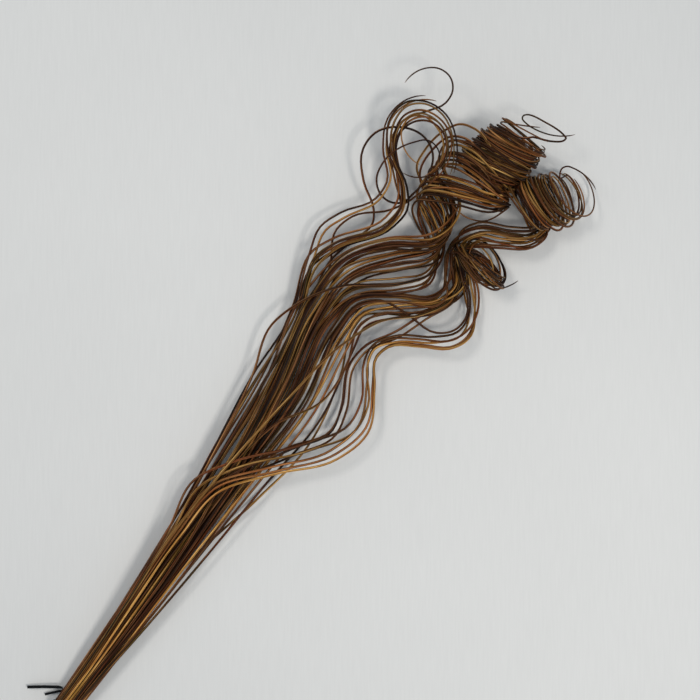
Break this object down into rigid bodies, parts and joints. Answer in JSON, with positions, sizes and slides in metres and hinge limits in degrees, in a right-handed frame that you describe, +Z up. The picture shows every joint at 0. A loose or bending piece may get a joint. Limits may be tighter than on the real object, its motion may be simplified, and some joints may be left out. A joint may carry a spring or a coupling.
{
  "type": "dried curly ting ting bunch",
  "caption": "Tied bunch of long thin dried stems that fan out, bend in waves and end in curls, laid down flat.",
  "frame": {"origin": "on the surface, under the middle of the bunch's box", "axes": "+Y along the bundle from the cut ends to the curls, +Z up from the surface that the bunch lies on, +X to the right of the bundle seen from above"},
  "size_m": [0.2654, 0.9426, 0.0813],
  "materials": {
    "stem_golden": "golden brown dried stem, satin, with fine lengthwise streaks",
    "stem_brown": "reddish brown dried stem, satin, with fine lengthwise streaks",
    "stem_dark": "near black dried stem, satin, with fine lengthwise streaks",
    "tie_black": "black plastic ribbon tie, semi-matt"
  },
  "bodies": {
    "root": {"stem_01": "stem_brown", "stem_02": "stem_dark", "stem_03": "stem_golden", "stem_04": "stem_brown", "stem_05": "stem_dark", "stem_06": "stem_brown", "stem_07": "stem_golden", "stem_08": "stem_brown", "stem_09": "stem_dark", "stem_10": "stem_golden", "stem_11": "stem_brown", "stem_12": "stem_dark", "stem_13": "stem_brown", "stem_14": "stem_golden", "stem_15": "stem_brown", "stem_16": "stem_dark", "stem_17": "stem_golden", "stem_18": "stem_brown", "stem_19": "stem_dark", "stem_20": "stem_brown", "stem_21": "stem_golden", "stem_22": "stem_brown", "stem_23": "stem_dark", "stem_24": "stem_golden", "stem_25": "stem_brown", "stem_26": "stem_dark", "stem_27": "stem_brown", "stem_28": "stem_golden", "stem_29": "stem_brown", "stem_30": "stem_dark", "stem_31": "stem_golden", "stem_32": "stem_brown", "stem_33": "stem_dark", "stem_34": "stem_brown", "stem_35": "stem_golden", "stem_36": "stem_brown", "stem_37": "stem_dark", "stem_38": "stem_golden", "stem_39": "stem_brown", "stem_40": "stem_dark", "stem_41": "stem_brown", "stem_42": "stem_golden", "stem_43": "stem_brown", "stem_44": "stem_dark", "stem_45": "stem_golden", "stem_46": "stem_brown", "stem_47": "stem_dark", "stem_48": "stem_brown", "stem_49": "stem_golden", "stem_50": "stem_brown", "stem_51": "stem_dark", "stem_52": "stem_golden", "stem_53": "stem_brown", "stem_54": "stem_dark", "stem_55": "stem_brown", "stem_56": "stem_golden", "stem_57": "stem_brown", "stem_58": "stem_dark", "stem_59": "stem_golden", "tie": "tie_black"}
  },
  "joints": []
}
